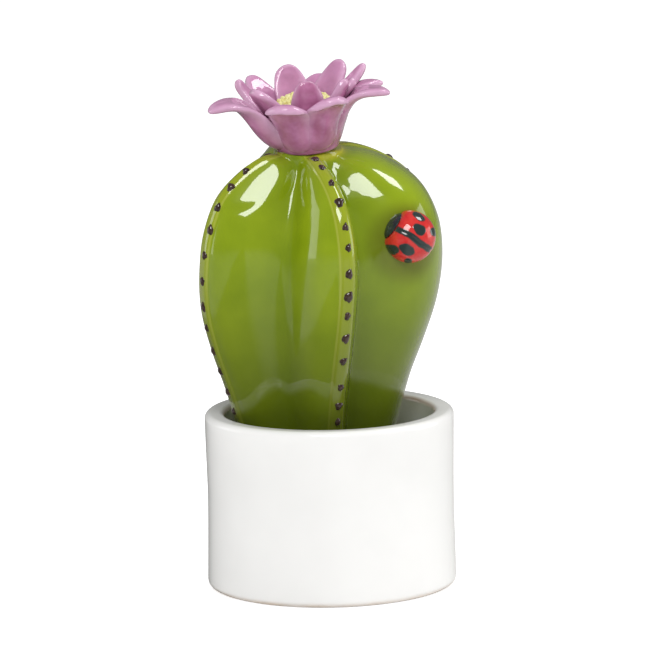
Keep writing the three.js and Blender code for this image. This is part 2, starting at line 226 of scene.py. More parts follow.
# A glossy glaze: a clear coat over a colour that wanders between two tones, with a faint ripple
def makeGlaze(name, look):
    material = bpy.data.materials.new(name)
    material.use_nodes = True
    shader = material.node_tree.nodes["Principled BSDF"]
    shader.inputs["Roughness"].default_value = look["roughness"]
    shader.inputs["IOR"].default_value = glazeBase["ior"]
    shader.inputs["Specular IOR Level"].default_value = glazeBase["specular"]
    shader.inputs["Coat Weight"].default_value = look["coat"]
    shader.inputs["Coat Roughness"].default_value = look["coatRoughness"]
    place = objectPlace(material)
    mottle = addNode(
        material, "ShaderNodeTexNoise", Scale=look["mottleScale"], Detail=glazeBase["mottleDetail"],
        Roughness=glazeBase["mottleRoughness"],
    )
    link(material, place, mottle.inputs["Vector"])
    spread = addNode(material, "ShaderNodeMapRange")
    spread.inputs["From Min"].default_value = glazeBase["mottleFrom"]
    spread.inputs["From Max"].default_value = glazeBase["mottleTo"]
    link(material, mottle.outputs["Fac"], spread.inputs["Value"])
    colour = mixColours(material, spread.outputs["Result"], *look["tones"])
    ripple = addNode(
        material, "ShaderNodeTexNoise", Scale=look["rippleScale"], Detail=glazeBase["rippleDetail"]
    )
    link(material, place, ripple.inputs["Vector"])
    relief = addNode(material, "ShaderNodeBump", Strength=look["ripple"], Distance=glazeBase["rippleDepth"])
    link(material, ripple.outputs["Fac"], relief.inputs["Height"])
    link(material, relief.outputs["Normal"], shader.inputs["Normal"])
    link(material, colour, shader.inputs["Base Color"])
    return material


glazes = {name: makeGlaze(name + "Glaze", look) for name, look in glazeLooks.items()}
print("glazes mixed")

potShape = {
    "radius": 32.5, "height": 46, "wall": 5.3, "floor": 5.5, "waist": 0.35, "rimRound": 1.6, "baseRound": 1.8,
    "floorFillet": 5, "sides": 160, "outerRows": 24, "innerRows": 8, "unevenness": 0.12, "waveLength": 22,
    # the clay shows through where the glaze runs thin, on the rim's inner edge and round the foot
    "rimLine": {"belowTop": 0.88, "within": 0.96, "width": 0.55, "colour": (0.42, 0.2, 0.09), "strength": 0.75},
    "footLine": {"level": 0.5, "width": 0.6, "colour": (0.55, 0.4, 0.27), "strength": 0.6},
    "lineShow": 0.75, "lineWaver": 0.5, "lineWaveLength": 6,
}


def buildPot(shape):
    radius, height, rim, base = shape["radius"], shape["height"], shape["rimRound"], shape["baseRound"]
    inner = radius - shape["wall"]
    corner = shape["floorFillet"]
    fillet = quarter(inner - corner, shape["floor"] + corner, corner, -90)
    outerWall = []
    for row in range(1, shape["outerRows"]):
        level = lerp(base, height - rim, row / shape["outerRows"])
        outerWall.append((radius - shape["waist"] * math.sin(math.pi * level / height) ** 2, level))
    innerWall = []
    for row in range(1, shape["innerRows"]):
        innerWall.append((inner, lerp(height - rim, fillet[-1][1], row / shape["innerRows"])))
    profile = [
        (0, 0),
        *quarter(radius - base, base, base, -90),
        *outerWall,
        *quarter(radius - rim, height - rim, rim, 0),
        *quarter(inner + rim, height - rim, rim, 90),
        *innerWall,
        *reversed(fillet),
        (0, shape["floor"]),
    ]
    build = turned(profile, shape["sides"])
    rimLayer = build.verts.layers.float.new("rimLine")
    footLayer = build.verts.layers.float.new("footLine")
    rimLine, footLine = shape["rimLine"], shape["footLine"]
    for vert in build.verts:
        out = math.hypot(vert.co.x, vert.co.y)
        show = shape["lineShow"] + shape["lineWaver"] * waves(vert.co, shape["lineWaveLength"], seed=3)
        if out < inner + rimLine["within"]:
            vert[rimLayer] = bump(vert.co.z - (height - rimLine["belowTop"]), rimLine["width"]) * show
        vert[footLayer] = bump(vert.co.z - footLine["level"], footLine["width"]) * show
        drift = shape["unevenness"] * waves(vert.co, shape["waveLength"], seed=1)
        if out > 1 and vert.co.z > 1:  # the foot stays flat and the floor's middle stays closed
            vert.co.x += drift * vert.co.x / out
            vert.co.y += drift * vert.co.y / out
    return build


finishPiece("glazed_pot", buildPot(potShape), glazes["white"], ["pot"])
paintOver(glazes["white"], "rimLine", potShape["rimLine"])
paintOver(glazes["white"], "footLine", potShape["footLine"])

# The lines give a crest's and a valley's radius and height from the collar down to the foot. A share of the way
# down is 0 at the collar and 1 at the foot.
cactus = {
    "crestLine": [
        (8.7, 115.8), (9.3, 115.7), (13.5, 115), (19.6, 112.6), (27.3, 106.5), (31.2, 97.8), (32.5, 87.3),
        (31.5, 76.3), (28.5, 65.3), (24.6, 54.3), (21.3, 42.8), (17.5, 26), (14, 5.5),
    ],
    "valleyLine": [
        (8.7, 115.8), (8.6, 114.4), (9, 112.4), (11.5, 109), (16, 102.5), (19.6, 94.5), (21.2, 85.5),
        (21, 75.5), (19.4, 65), (17.4, 54.3), (15.7, 42.8), (13.8, 26), (12, 5.5),
    ],
    # azimuth and swing of each rib, how far its shoulder sinks, its breadth on either side, and the valley after
    # it: its share of the way to the next rib, and its radius next to valleyLine
    "ribs": [
        {"azimuth": 14, "swing": -9, "sink": 0, "breadth": (1, 1), "share": 0.16, "reach": 1},
        {"azimuth": 121, "swing": 14, "sink": 0.4, "breadth": (2.9, 1.1), "share": 0.5, "reach": 0.82},
        {"azimuth": 208, "swing": 4, "sink": 0.5, "breadth": (1.1, 1.1), "share": 0.5, "reach": 0.82},
        {"azimuth": 296, "swing": 0, "sink": 1, "breadth": (1.1, 1.25), "share": 0.52, "reach": 1},
    ],
    "x": -3.5, "y": 1.5, "lean": math.radians(5.8), "sideLean": -0.6, "bow": 1.9, "bowSkew": 2.2,
    "foot": 5.5, "rim": 46, "shoulder": (90, 105), "bandRise": 0.65, "bandHalfWidth": 2.1, "bandEdge": 0.6,
    "rows": 220, "merge": 1e-3, "unevenness": 0.22, "waveLength": 17,
    # over which shares of the way down a valley's reach, a shoulder's sinking, a rib's swing and its raised band
    # fade in or out, and the band stops rising upwards and stands outwards instead
    "reachFades": ((0.05, 0.3), (1, 0.85)), "sinkFade": (0, 0.15), "swingFade": (0.3, 0),
    "bandFades": ((0.06, 0.15), (1, 0.95)), "upwardsFade": (0.45, 0.1),
    # where the glaze is darker towards a valley, and where a reflection of light is painted pale yellow at the
    # collar, down from it and across in X
    "valleyFade": (0.55, 1), "collarLightFade": (0.13, 0.05), "collarLitSide": (-3.5, -0.5),
    # soft flat places that the maker's hands left: the sides of ribs that share one, a point on it, the azimuth
    # and tilt that it faces, how far it is flat and where it fades out, and how much longer it is along its spin
    "flats": [
        {
            "sides": [(3, 1), (0, -1)], "at": (-18.5, -17.1, 109.1), "faces": (-4.5, 27.5), "reach": (4.5, 9),
            "spin": 38, "stretch": 1.5, "share": 0.8, "press": 0.3,
        },
        {
            "sides": [(1, -1)], "at": (7.8, -16, 106.4), "faces": (-4.5, 27.5), "reach": (2.5, 6.5),
            "spin": 0, "stretch": 1, "share": 0.7, "press": -0.22,
        },
    ],
    "flatDepth": (6, 4),
}
bandColumns = [0, 0.35, 0.7, 1.05, 1.4, 1.65, 1.9, 2.15, 2.4, 2.7, 3.1]  # millimetres from the crest
lobeSteps = 18
lobeSpread = 0.9  # below 1, the columns crowd towards the valley
# the columns beyond the band, as a share of the way left to the valley
lobeColumns = [(step / lobeSteps) ** lobeSpread for step in range(1, lobeSteps + 1)]
leastRadius = 14  # crest radius under which the band narrows with the crest
narrowest = 4.7  # millimetres from crest to valley under which the band's columns crowd together


# A point of a centripetal Catmull-Rom curve
def curvePoint(line, share):
    last = len(line) - 1
    index = min(int(last * share), last - 1)
    way = last * share - index
    points = [Vector(point) for point in line]
    b, c = points[index], points[index + 1]
    a = points[index - 1] if index else 2 * points[0] - points[1]
    d = points[index + 2] if index + 2 <= last else 2 * points[last] - points[last - 1]
    before, between, after = [max((q - p).length, 1e-8) ** 0.5 for p, q in ((a, b), (b, c), (c, d))]
    first = between * ((b - a) / before - (c - a) / (before + between) + (c - b) / between)
    second = between * ((c - b) / between - (d - b) / (between + after) + (d - c) / after)
    square = 3 * (c - b) - 2 * first - second
    cube = 2 * (b - c) + first + second
    return b + first * way + square * way**2 + cube * way**3


lineCache = {}


# The crest's and the valley's [radius, height] at a share of the way down
def linePoints(share):
    key = round(share, 7)
    if key not in lineCache:
        lineCache[key] = (curvePoint(cactus["crestLine"], share), curvePoint(cactus["valleyLine"], share))
    crest, valley = lineCache[key]
    return crest.copy(), valley.copy()


# Leans and bows a point of the body, from nothing at the foot to the full lean at the pot's rim
def leaned(x, y, z):
    forward = cactus["lean"] * smooth(cactus["foot"], cactus["rim"], z)
    above = z - cactus["rim"]
    share = min(1.0, max(0.0, above / (cactus["crestLine"][0][1] - cactus["rim"])))
    bow = cactus["bow"] * math.sin(math.pi * share ** cactus["bowSkew"])
    return Vector((
        cactus["x"] + x + cactus["sideLean"] * share + bow,
        cactus["y"] + y * math.cos(forward) - above * math.sin(forward),
        cactus["rim"] + above * math.cos(forward) + y * math.sin(forward),
    ))


# The turn from a rib's crest to the valley on one side of it, in radians. side is 1 towards the next rib and -1
# towards the one before.
def halfGap(index, side):
    ribs = cactus["ribs"]
    rib, other = ribs[index], ribs[(index + side) % len(ribs)]
    gap = (side * (other["azimuth"] - rib["azimuth"])) % 360
    return math.radians(gap * (rib["share"] if side > 0 else 1 - other["share"]))


# A point on the body and its distance from the crest. way runs from 0 on the crest to 1 in the valley.
def bodyPoint(index, side, way, share):
    rib = cactus["ribs"][index]
    crest, valley = linePoints(share)
    reach = rib["reach"] if side > 0 else cactus["ribs"][index - 1]["reach"]
    valley.x *= lerp(1, reach, faded(share, *cactus["reachFades"]))
    crest.y -= rib["sink"] * smooth(*cactus["shoulder"], crest.y) * smooth(*cactus["sinkFade"], share)
    breadth = rib["breadth"][1 if side > 0 else 0]
    line = valley.lerp(crest, (1 + math.cos(math.pi * way**breadth)) / 2)
    swing = math.radians(rib["swing"]) * smooth(*cactus["swingFade"], share) * (1 - way)
    azimuth = math.radians(rib["azimuth"]) + side * way * halfGap(index, side) + swing
    fromCrest = way * halfGap(index, side) * line.x
    rise = cactus["bandRise"] * under(cactus["bandHalfWidth"], cactus["bandEdge"], fromCrest)
    rise *= faded(share, *cactus["bandFades"])
    upwards = smooth(*cactus["upwardsFade"], share)
    radius = line.x + rise * (1 - upwards)
    return leaned(radius * math.sin(azimuth), -radius * math.cos(azimuth), line.y + rise * upwards), fromCrest


# The rib, the side and the way to the valley of one of the body's columns
def columnAt(column, share):
    perSide = len(bandColumns) + len(lobeColumns) - 1
    index, within = divmod(round(column), 2 * perSide)
    index %= len(cactus["ribs"])
    side, step = (-1, perSide - within) if within < perSide else (1, within - perSide)
    reach = max(narrowest, halfGap(index, side) * max(linePoints(share)[0].x, leastRadius))
    bandEnd = bandColumns[-1] / reach
    if step < len(bandColumns):
        return index, side, bandColumns[step] / reach
    return index, side, lerp(bandEnd, 1, lobeColumns[step - len(bandColumns)])


# Presses a point near a flat place towards its plane
def flattened(point, flat):
    azimuth, tilt = [math.radians(angle) for angle in flat["faces"]]
    out = Vector((math.sin(azimuth) * math.cos(tilt), -math.cos(azimuth) * math.cos(tilt), math.sin(tilt)))
    along = Quaternion(out, math.radians(flat["spin"])) @ Vector((math.cos(azimuth), math.sin(azimuth), 0))
    offset = point - Vector(flat["at"])
    above = offset.dot(out)
    beside = offset - above * out
    lengthwise = beside.dot(along)
    away = math.hypot(lengthwise / flat["stretch"], math.sqrt(max(0, beside.length_squared - lengthwise**2)))
    inner, outer = flat["reach"]
    strength = flat["share"] * smooth(outer, inner, away) * smooth(*cactus["flatDepth"], abs(above))
    return point - strength * (above + flat["press"]) * out


def buildBody():
    build = bmesh.new()
    columns = 2 * (len(bandColumns) + len(lobeColumns) - 1) * len(cactus["ribs"])
    bmesh.ops.create_grid(build, x_segments=columns, y_segments=cactus["rows"], size=1)
    crestLayer = build.verts.layers.float.new("fromCrest")
    valleyLayer = build.verts.layers.float.new("valley")
    collarLightLayer = build.verts.layers.float.new("collar")
    for vert in build.verts:
        share = min(1.0, max(0.0, (1 - vert.co.y) / 2))
        index, side, way = columnAt((vert.co.x + 1) / 2 * columns, share)
        point, fromCrest = bodyPoint(index, side, way, share)
        for flat in cactus["flats"]:
            if (index, side) in flat["sides"]:
                point = flattened(point, flat)
        vert.co = point
        vert[crestLayer] = fromCrest
        vert[valleyLayer] = smooth(*cactus["valleyFade"], way)
        # a painted reflection of light on the collar's right-hand side
        vert[collarLightLayer] = smooth(*cactus["collarLightFade"], share) * smooth(*cactus["collarLitSide"], vert.co.x)
    bmesh.ops.remove_doubles(build, verts=build.verts, dist=cactus["merge"])
    ends = bmesh.ops.holes_fill(build, edges=[edge for edge in build.edges if edge.is_boundary])["faces"]
    bmesh.ops.poke(build, faces=ends)
    bmesh.ops.recalc_face_normals(build, faces=build.faces)
    build.normal_update()
    shifts = []
    for vert in build.verts:
        shifts.append(vert.normal * cactus["unevenness"] * waves(vert.co, cactus["waveLength"], seed=5))
    for vert, shift in zip(build.verts, shifts):
        vert.co += shift
    return build


bodyBuild = buildBody()
bodyTree = BVHTree.FromBMesh(bodyBuild)

dotLook = {
    "halfWidth": 0.98, "halfHeight": 1.35, "halfDepth": 0.96, "sunk": 0.36, "sides": 16, "rings": 10,
    # how much the dots differ: their tilt in degrees, size, width and taper
    "tilt": 18, "sizes": (0.85, 1.15), "widths": (0.9, 1.1), "taper": 0.25,
    "lobes": [(3, 0.12, 1), (5, 0.07, 2)],  # count, depth and turn of the waves in a dot's outline
    # one row for each rib: how far from the collar its dots lie, in millimetres along the crest
    "places": [
        (3.5, 8, 14.2, 20.7, 27.4, 32.8, 39.5, 45.5, 50.8, 57.3, 63.9, 72, 78, 82.8),
        (17, 24, 31, 37.5, 43.5, 50, 56, 62, 68.5, 74, 80.5),
        (4.5, 11, 17.5, 23, 29, 35.5, 41.5, 48, 54.5, 60.5, 67, 73.5, 79.5),
        (3.4, 10.7, 16.4, 22.7, 28.7, 35.5, 42.4, 49.5, 55.4, 62, 68.2, 74.3, 79.9),
    ],
    # how far each row strays from its crest near the collar, as a share of the way to the next valley
    "stray": [0, 0, 0, 0.1], "strayFade": (0.72, 0.2),
    "seed": 11, "steps": 600,
}


# One dot: a flattened ball of glaze, drawn out along the crest and a little crooked
def addDot(build, look, index, share, draw):
    stray = look["stray"][index] * smooth(*look["strayFade"], share)
    here = bodyPoint(index, 1, stray, share)[0]
    below = bodyPoint(index, 1, stray, min(1, share + 0.01))[0]
    hit, out, _, _ = bodyTree.find_nearest(here)
    down = (below - here).normalized()
    across = out.cross(down).normalized()
    turn = Matrix((across, -across.cross(out).normalized(), out)).transposed().to_4x4()
    tilt = Matrix.Rotation(math.radians(draw.uniform(-look["tilt"], look["tilt"])), 4, "Z")
    size = draw.uniform(*look["sizes"])
    halfWidth = look["halfWidth"] * size * draw.uniform(*look["widths"])
    stretch = Matrix.Diagonal((halfWidth, look["halfHeight"] * size, look["halfDepth"], 1))
    part = bmesh.new()
    bmesh.ops.create_uvsphere(part, u_segments=look["sides"], v_segments=look["rings"], radius=1)
    taper = draw.uniform(-look["taper"], look["taper"])
    start = draw.uniform(0, 50)
    for vert in part.verts:
        angle = math.atan2(vert.co.y, vert.co.x)
        outline = 1 + sum(depth * math.sin(count * angle + turns * start) for count, depth, turns in look["lobes"])
        vert.co.x *= outline * (1 + taper * vert.co.y)
        vert.co.y *= outline
    part.transform(Matrix.Translation(hit - look["sunk"] * out) @ turn @ tilt @ stretch)
    absorb(build, part)


def buildDots(look):
    draw = random.Random(look["seed"])
    build = bmesh.new()
    for index, places in enumerate(look["places"]):
        waiting = list(places)
        travelled = 0.0
        before = bodyPoint(index, 1, 0, 0)[0]
        for step in range(1, look["steps"]):
            share = step / look["steps"]
            here = bodyPoint(index, 1, 0, share)[0]
            travelled += (here - before).length
            before = here
            if waiting and travelled >= waiting[0]:
                waiting.pop(0)
                addDot(build, look, index, share, draw)
    return build


# A low dome on the right-hand lobe. x runs from its head to its tail, y across its back and z out of the body.
ladybird = {
    "x": 21.6, "z": 94, "facing": 16, "upwards": 0.1, "turn": -36, "radius": 6.8, "height": 5.6, "sink": 0.5,
    "headLine": -5.4, "headGap": 0.12, "depth": 4.5, "sides": 200, "rings": 100,
    "neckDepth": 0.035, "neckWidth": 0.45,
    # each spot's middle, along and across the back, and its half length and half width
    "spots": [
        (-0.3, 2.3, 1.8, 1.4), (-0.2, -3.7, 2.2, 1.3), (-2.8, -5.6, 1.6, 1.3),
        (-1.6, 5.2, 1.7, 1), (3.8, 4, 1.3, 1.1), (2.4, -5.7, 1.2, 0.7),
    ],
    "spotEdge": 0.1, "spotWobble": 0.5,
    "seamHalfWidth": 0.85, "seamEdge": 0.2, "seamWobble": 0.6, "seamAcross": -0.5, "seamTo": 5.9, "seamEnd": 0.3,
    "seamCrook": 0.15, "seamWaves": 0.9, "grooveDepth": 0.02, "grooveWidth": 0.3,
    "wobble": 0.3, "wobbleLength": 1.3, "paintThickness": 0.006,
    "blackPaint": {"colour": (0.02, 0.035, 0.034), "strength": 1.0},
    # where a shadow is painted on the body round the seat: its middle next to the seat, and its far and near
    # limits
    "shadeOffset": (-0.8, 0, -1.6), "shadeFade": (12.5, 7),
}


def ladybirdFrame(look):
    facing = math.radians(look["facing"])
    out = Vector((math.sin(facing), -math.cos(facing), look["upwards"])).normalized()
    level = Vector((math.cos(facing), math.sin(facing), 0))
    tail = Quaternion(out, math.radians(look["turn"])) @ level
    inFront = -2 * potShape["radius"]
    hit, _, _, _ = bodyTree.ray_cast(Vector((look["x"], inFront, look["z"])), Vector((0, 1, 0)))
    seat = hit - look["sink"] * out
    turn = Matrix((tail, out.cross(tail), out)).transposed().to_4x4()
    return Matrix.Translation(seat) @ turn


# Cuts a bmesh at a plane and drops what lies on one side of it
def cutAway(build, point, normal, **side):
    everything = build.verts[:] + build.edges[:] + build.faces[:]
    bmesh.ops.bisect_plane(build, geom=everything, plane_co=point, plane_no=normal, **side)


# How dark the back is painted at a point: a seam down the middle and the spots
def backPaint(look, x, y, crook, wobble):
    dark = under(look["seamHalfWidth"], look["seamEdge"], abs(crook) + look["seamWobble"] * wobble)
    dark *= under(look["seamTo"], look["seamEnd"], x)
    for spotX, spotY, halfLong, halfWide in look["spots"]:
        reach = math.hypot((x - spotX) / halfLong, (y - spotY) / halfWide) + look["spotWobble"] * wobble
        dark = max(dark, under(1, look["spotEdge"], reach))
    return dark


def buildLadybird(look, place, isHead):
    build = bmesh.new()
    bmesh.ops.create_uvsphere(build, u_segments=look["sides"], v_segments=look["rings"], radius=1)
    build.transform(Matrix.Diagonal((look["radius"], look["radius"], look["height"] + look["sink"], 1)))
    edge = look["headLine"] + (-look["headGap"] if isHead else look["headGap"])
    cutAway(build, (edge, 0, 0), (1, 0, 0), clear_outer=isHead, clear_inner=not isHead)
    cutAway(build, (0, 0, -look["depth"]), (0, 0, 1), clear_inner=True)
    bmesh.ops.holes_fill(build, edges=[edge for edge in build.edges if edge.is_boundary])
    painted = build.verts.layers.float.new("painted")
    for vert in build.verts:
        x, y, _ = vert.co
        inwards = look["neckDepth"] * bump(abs(x - look["headLine"]), look["neckWidth"])
        if not isHead:
            crook = y - look["seamAcross"] + look["seamCrook"] * math.sin(look["seamWaves"] * x)
            groove = look["grooveDepth"] * bump(crook, look["grooveWidth"])
            inwards += groove * smooth(look["headLine"], look["headLine"] + 1, x)
            wobble = look["wobble"] * waves(vert.co, look["wobbleLength"], seed=4)
            dark = backPaint(look, x, y, crook, wobble)
            vert[painted] = dark
            inwards -= look["paintThickness"] * dark
        vert.co = vert.co * (1 - inwards)
    build.transform(place)
    return build


# Paints a shadow on the body's glaze round the ladybird's seat, mostly below it
def shadeSeat(build, look, place):
    seatShadowLayer = build.verts.layers.float.new("seat")
    for vert in build.verts:
        away = (vert.co - place.translation - Vector(look["shadeOffset"])).length
        vert[seatShadowLayer] = smooth(*look["shadeFade"], away)


perch = ladybirdFrame(ladybird)
shadeSeat(bodyBuild, ladybird, perch)
finishPiece("wing_cases", buildLadybird(ladybird, perch, False), glazes["red"], ["ladybird_wings"])
finishPiece("beetle_head", buildLadybird(ladybird, perch, True), glazes["black"], ["ladybird_head"])
paintOver(glazes["red"], "painted", ladybird["blackPaint"])
finishPiece("crest_dots", buildDots(dotLook), glazes["brown"])
finishPiece("glazed_body", bodyBuild, glazes["green"], ["cactus_body"])

# What is laid over the body's green, in this order. band and bandEdge are in millimetres from the crest, foot in
# metres above the table.
bodyPaint = {
    "band": {"limits": (2.9, 1.5), "colour": (0.3, 0.34, 0.02), "strength": 0.6},
    # bandEdge: painted highlights, pale lines along the band's borders
    "bandEdge": {"middle": 2.15, "halfWidth": 0.22, "colour": (0.5, 0.52, 0.1), "strength": 0.32},
    "valley": {"colour": (0.1, 0.17, 0.008), "strength": 0.25},
    # foot: painted shade, darker towards the pot's rim, with some glaze pooling there
    "foot": {"limits": (0.1, 0.045), "colour": (0.055, 0.075, 0.004), "strength": 0.7},
    # seat: the ladybird's painted shadow on the body
    "seat": {"colour": (0.09, 0.09, 0.006), "strength": 0.55},
    # collar: a painted reflection of light on one side of the collar
    "collar": {"colour": (0.42, 0.42, 0.02), "strength": 1.0},
}


# The body's glaze: an olive band along each crest with painted highlights on its edges, darker where it pools in
# the valleys, with a painted shadow round the ladybird, painted shade towards the foot, where some glaze also
# pools, and a painted reflection of light at the collar
def paintBody(material, paint):
    band, bandEdge, foot = paint["band"], paint["bandEdge"], paint["foot"]
    fromCrest = paintedShare(material, "fromCrest")
    layOver(material, risen(material, fromCrest, band["limits"], band["strength"]), band["colour"])
    # Painted highlights: pale lines along the band's edges
    edge = addNode(material, "ShaderNodeMath", operation="COMPARE")
    edge.inputs[1].default_value = bandEdge["middle"]
    edge.inputs[2].default_value = bandEdge["halfWidth"]
    link(material, fromCrest, edge.inputs[0])
    layOver(material, scaled(material, edge.outputs[0], bandEdge["strength"]), bandEdge["colour"])
    paintOver(material, "valley", paint["valley"])
    place = addNode(material, "ShaderNodeSeparateXYZ")
    link(material, objectPlace(material), place.inputs[0])
    # Painted shade towards the foot, with some glaze pooling there
    layOver(material, risen(material, place.outputs["Z"], foot["limits"], foot["strength"]), foot["colour"])
    # The ladybird's painted shadow
    paintOver(material, "seat", paint["seat"])
    # A painted reflection of light at the collar
    paintOver(material, "collar", paint["collar"])


paintBody(glazes["green"], bodyPaint)

bloom = {
    "lift": 1.05, "forwardTilt": math.radians(8), "sideTilt": math.radians(4.5), "cupSides": 64,
    "cupLine": [
        (0, -0.9), (8.2, -0.9), (8.2, 0), (8.6, 1.2), (9.6, 3.6), (11, 6.6), (11.8, 9.2), (11.2, 10.6), (0, 11),
    ],
    "thickness": 2.4, "cuts": (8, 14, 1), "rounding": 2, "unevenness": 0.22, "waveLength": 4,
    # how far along its line a petal ends, and how its side and its tip thin out
    "end": 0.997, "sideThinning": 0.8, "tipBluntness": 24,
    # over which share of a petal it gets its full width and its cup turns into the lip
    "widthFade": (0, 0.6), "lipFade": (0.3, 0.9),
    # where a petal is pale: towards its sides and its tip, and on its inner face, which is painted light where it
    # turns up to the lamps while the outer face is darker where the glaze pools
    "sideFade": (0.55, 1), "tipFade": (0.9, 0.985), "litAndPooledFade": (0.6, -0.6),
    # the inner face's paler colour is painted light, with the outer face's darker pooled glaze
    "litAndPooledPaint": {"colour": (0.64, 0.34, 0.55), "strength": 0.5},
    "edgePaint": {"colour": (0.74, 0.5, 0.67), "strength": 0.45},
    # where a layer's petals grow from, their width there, how deeply they are cupped, how much of that they lose
    # towards the tip (above 1, the tip is hooded), and how blunt the tip is
    "layers": {
        "front": {"root": (7.2, 0.6), "narrow": 1, "cupping": 0.5, "lip": 1.5, "blunt": 6},
        "outer": {"root": (7.2, 0.6), "narrow": 0.85, "cupping": 0.55, "lip": 0.95, "blunt": 3.4},
        "inner": {"root": (7.6, 6.5), "narrow": 0.9, "cupping": 0.3, "lip": 0.85, "blunt": 3.2},
    },
    # layer, azimuth, half width, and the middle line's two control points and its tip as radius and height
    "petals": [
        ("front", -19, 5.9, (11.5, 4), (12.2, 17.2), (18.6, 14)),
        ("front", 27, 5.8, (11.5, 4), (12, 17.6), (18.8, 14.8)),
        ("outer", 80, 5, (10, 6), (10.5, 16.5), (22.8, 12.6)),
        ("outer", 112, 3.2, (10, 6), (11.5, 14.7), (22.4, 12)),
        ("outer", 164, 5.6, (11.5, 4), (14, 13), (18.4, 13)),
        ("outer", 225, 4.6, (12, 4), (14, 13), (19.8, 15.6)),
        ("outer", 287, 6.6, (16.5, 5), (13, 17.8), (25.6, 13.2)),
        ("inner", 8, 4.6, (9.4, 11), (9.8, 16), (8, 19.1)),
        ("inner", 308, 5.4, (10.4, 10), (12.4, 15), (15.6, 18.4)),
        ("inner", 246, 2.5, (12, 8.5), (16, 12), (18.2, 17)),
        ("inner", 197, 4.8, (10, 11), (11.5, 14.4), (12.8, 18.6)),
        ("inner", 140, 4.4, (10, 11), (12.5, 14.7), (16.4, 18.2)),
        ("inner", 118, 2.6, (10.5, 10.5), (13.6, 13), (18.8, 17.5)),
        ("inner", 90, 3.2, (9.4, 11), (10.8, 13.6), (13.8, 16.2)),
        ("inner", 64, 4, (9.4, 11), (10.4, 14.4), (12.6, 17.8)),
    ],
}
bloomPlace = Matrix.Translation(
    leaned(0, 0, cactus["crestLine"][0][1]) + Vector((0, 0, bloom["lift"]))
) @ Euler((bloom["forwardTilt"], -bloom["sideTilt"], 0)).to_matrix().to_4x4()


# A point of a cubic Bezier curve and the direction that the curve runs in there
def bezier(corners, share):
    a, b, c, d = corners
    rest = 1 - share
    point = rest**3 * a + 3 * rest**2 * share * b + 3 * rest * share**2 * c + share**3 * d
    slope = rest**2 * (b - a) + 2 * rest * share * (c - b) + share**2 * (d - c)
    return point, slope.normalized()


# A petal: a thick curved leaf with round edges, narrow at its root and blunt at its tip. It starts as a cube that
# spans -1 to 1, where x runs across the petal, y along it and z through its thickness.
def addPetal(build, look, layerName, azimuth, halfWidth, *line):
    layer = look["layers"][layerName]
    corners = [Vector((0, *point)) for point in (layer["root"], *line)]
    part = bmesh.new()
    bmesh.ops.create_cube(part, size=2)
    for axis, cuts in enumerate(look["cuts"]):
        along = [edge for edge in part.edges if abs((edge.verts[0].co - edge.verts[1].co)[axis]) > touching]
        bmesh.ops.subdivide_edges(part, edges=along, cuts=cuts, use_grid_fill=True)
    edgeLayer = part.verts.layers.float.new("edge")
    litAndPooledLayer = part.verts.layers.float.new("litAndPooledFaces")
    for vert in part.verts:
        across, side = vert.co.x, vert.co.z
        share = look["end"] * math.sin(math.pi / 4 * (vert.co.y + 1))
        middle, slope = bezier(corners, share)
        outwards = Vector((0, slope.z, -slope.y))
        rootWidth = lerp(layer["narrow"], 1, smooth(*look["widthFade"], share))
        width = halfWidth * rootWidth * math.sqrt(1 - share ** layer["blunt"])
        cupping = layer["cupping"] * (1 - layer["lip"] * smooth(*look["lipFade"], share))
        sideThickness = 1 - look["sideThinning"] * across**4
        tipThickness = 1 - share ** look["tipBluntness"]
        half = look["thickness"] / 2 * math.sqrt(sideThickness * tipThickness)
        vert.co = middle + outwards * (side * half - cupping * width * across**2)
        vert.co.x = width * across
        vert[edgeLayer] = max(smooth(*look["sideFade"], abs(across)), smooth(*look["tipFade"], share))
        # the inner face painted lighter, partly painted light
        vert[litAndPooledLayer] = smooth(*look["litAndPooledFade"], side)
    for vert in part.verts:
        drift = noise.noise_vector(vert.co / look["waveLength"] + Vector((azimuth, 0, 0)))
        vert.co += look["unevenness"] * drift
    part.transform(Matrix.Rotation(math.radians(180 + azimuth), 4, "Z"))
    absorb(build, part)


def buildPetals(look):
    build = bmesh.new()
    build.verts.layers.float.new("edge")
    build.verts.layers.float.new("litAndPooledFaces")
    for petal in look["petals"]:
        addPetal(build, look, *petal)
    absorb(build, turned(look["cupLine"], look["cupSides"]))
    bmesh.ops.recalc_face_normals(build, faces=build.faces)
    build.transform(bloomPlace)
    return build


finishPiece(
    "bloom_petals", buildPetals(bloom), glazes["lilac"], ["flower_petals"],
    rounding=bloom["rounding"],
)
# Painted light on the petals' inner faces, with pooled glaze darker on the outer faces
paintOver(glazes["lilac"], "litAndPooledFaces", bloom["litAndPooledPaint"])
paintOver(glazes["lilac"], "edge", bloom["edgePaint"])

# The stippled middle of the bloom: a low dome covered in small grains
centre = {
    "radius": 7, "rise": 1.6, "base": 11, "under": 0.2, "edgeLevel": 0.8, "rings": 8, "sides": 48,
    "grains": 90, "grain": 0.62, "grainSizes": (0.75, 1.2), "margin": 0.5, "jitter": 0.1, "sunk": 0.1, "seed": 5,
}


def domeLevel(look, out):
    return look["base"] + look["edgeLevel"] + look["rise"] * (1 - (out / look["radius"]) ** 2)


